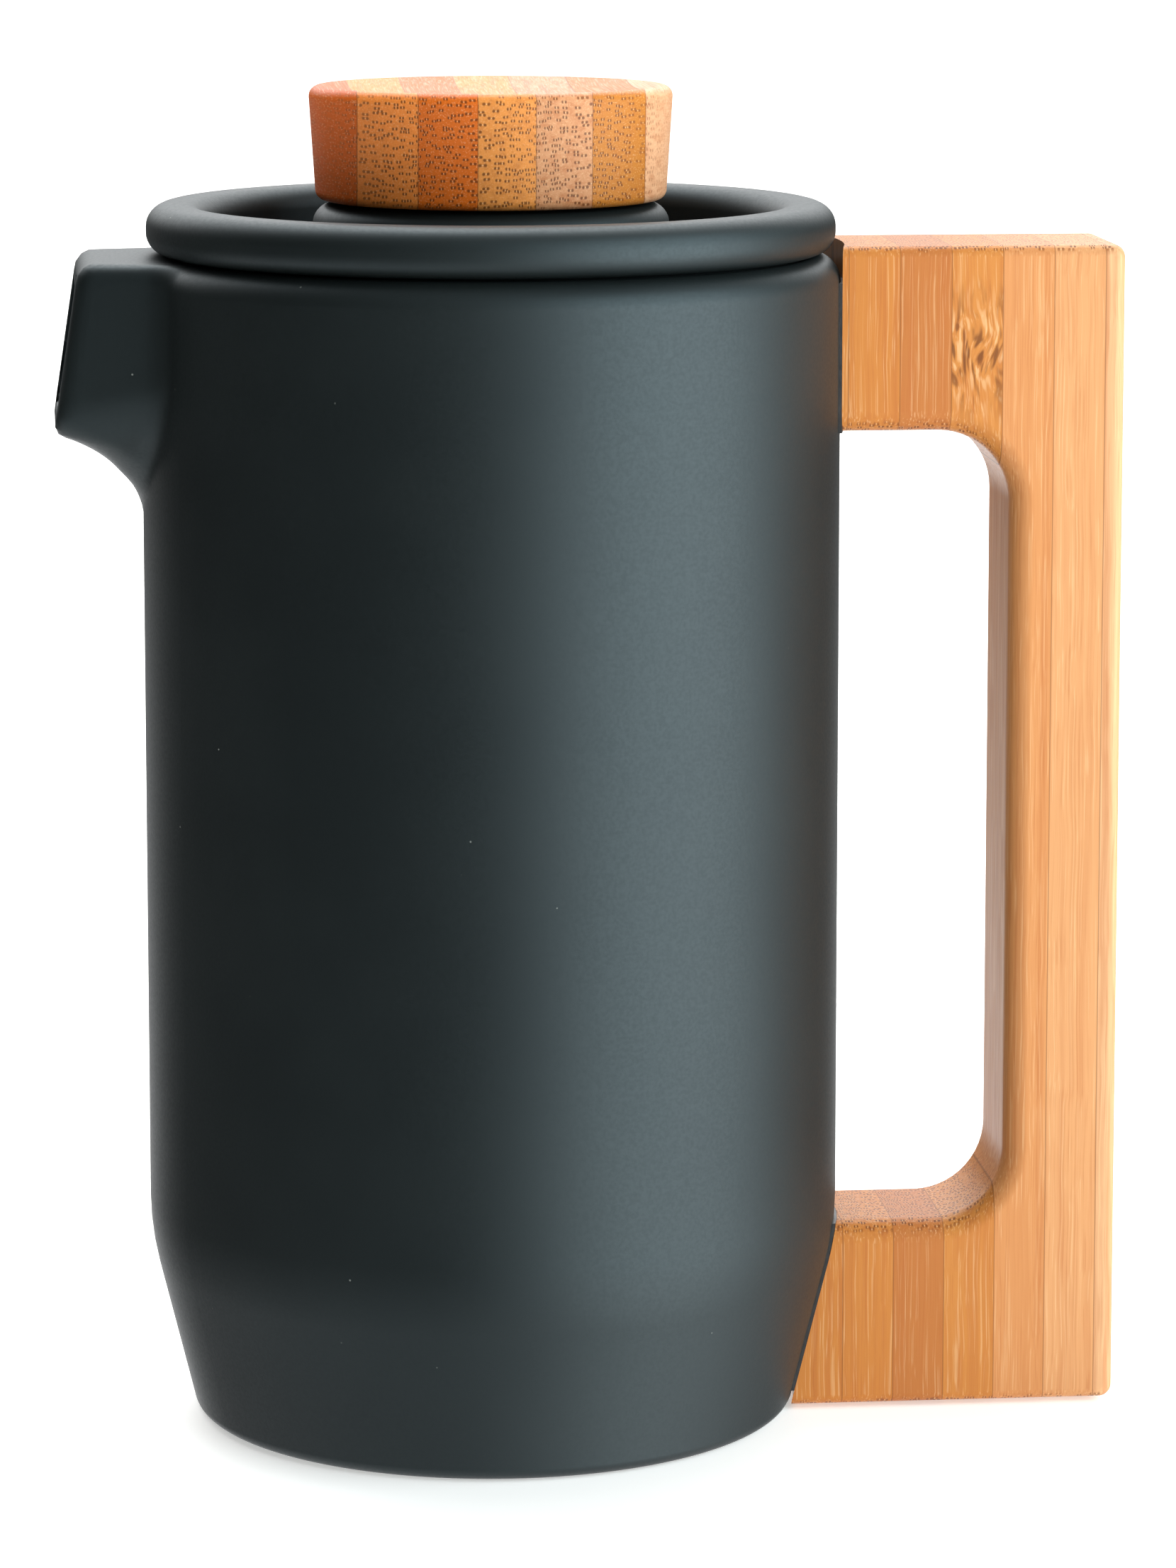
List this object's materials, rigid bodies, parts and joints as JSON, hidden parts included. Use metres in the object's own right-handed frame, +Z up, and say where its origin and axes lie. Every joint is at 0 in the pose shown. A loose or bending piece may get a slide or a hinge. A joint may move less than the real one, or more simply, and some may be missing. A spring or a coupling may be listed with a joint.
{
  "type": "french press",
  "caption": "French press with a matte black stoneware jug and lid, a closed spout, a bamboo handle and knob, and a steel plunger with a spring-edged mesh filter.",
  "frame": {"origin": "centre of the jug's foot ring, on the table it stands on", "axes": "+Z up along the jug's axis; +X towards the handle, so the spout points to -X; +Y across the jug"},
  "size_m": [0.1618, 0.106, 0.204],
  "materials": {
    "stoneware": "matte black, unglazed to the touch",
    "bamboo": "oiled satin laminated bamboo",
    "steel": "stainless, satin",
    "mesh": "fine stainless mesh",
    "brass": "turned",
    "silicone": "matte black",
    "adhesive": "cured black adhesive"
  },
  "bodies": {
    "jug": {"jug_body": "stoneware", "spout": "stoneware", "lug_upper": "stoneware", "lug_lower": "stoneware", "handle": "bamboo", "adhesive_upper": "adhesive", "adhesive_lower": "adhesive"},
    "lid": {"lid": "stoneware", "rod_guide": "steel", "guide_seal_top": "silicone", "guide_seal_bottom": "silicone", "guide_nut": "steel"},
    "filter": {"spiral_plate": "steel", "spiral_spring": "steel", "mesh_filter": "mesh", "mesh_eyelet": "steel", "cross_plate": "steel", "cross_plate_nut": "steel"},
    "plunger": {"plunger_rod": "steel", "rod_collar": "steel", "knob": "bamboo", "knob_insert": "brass", "knob_bumper": "silicone"}
  },
  "joints": [
    {"name": "lid_lift", "type": "slide", "parent": "jug", "child": "lid", "axis": [0, 0, 1], "range_m": [0, 0.16]},
    {"name": "plunger_slide", "type": "slide", "parent": "lid", "child": "filter", "axis": [0, 0, 1], "range_m": [0, 0.127]},
    {"name": "knob_turn", "type": "hinge", "parent": "filter", "child": "plunger", "pos_m": [0, 0, 0.03], "axis": [0, 0, 1], "continuous": true}
  ]
}
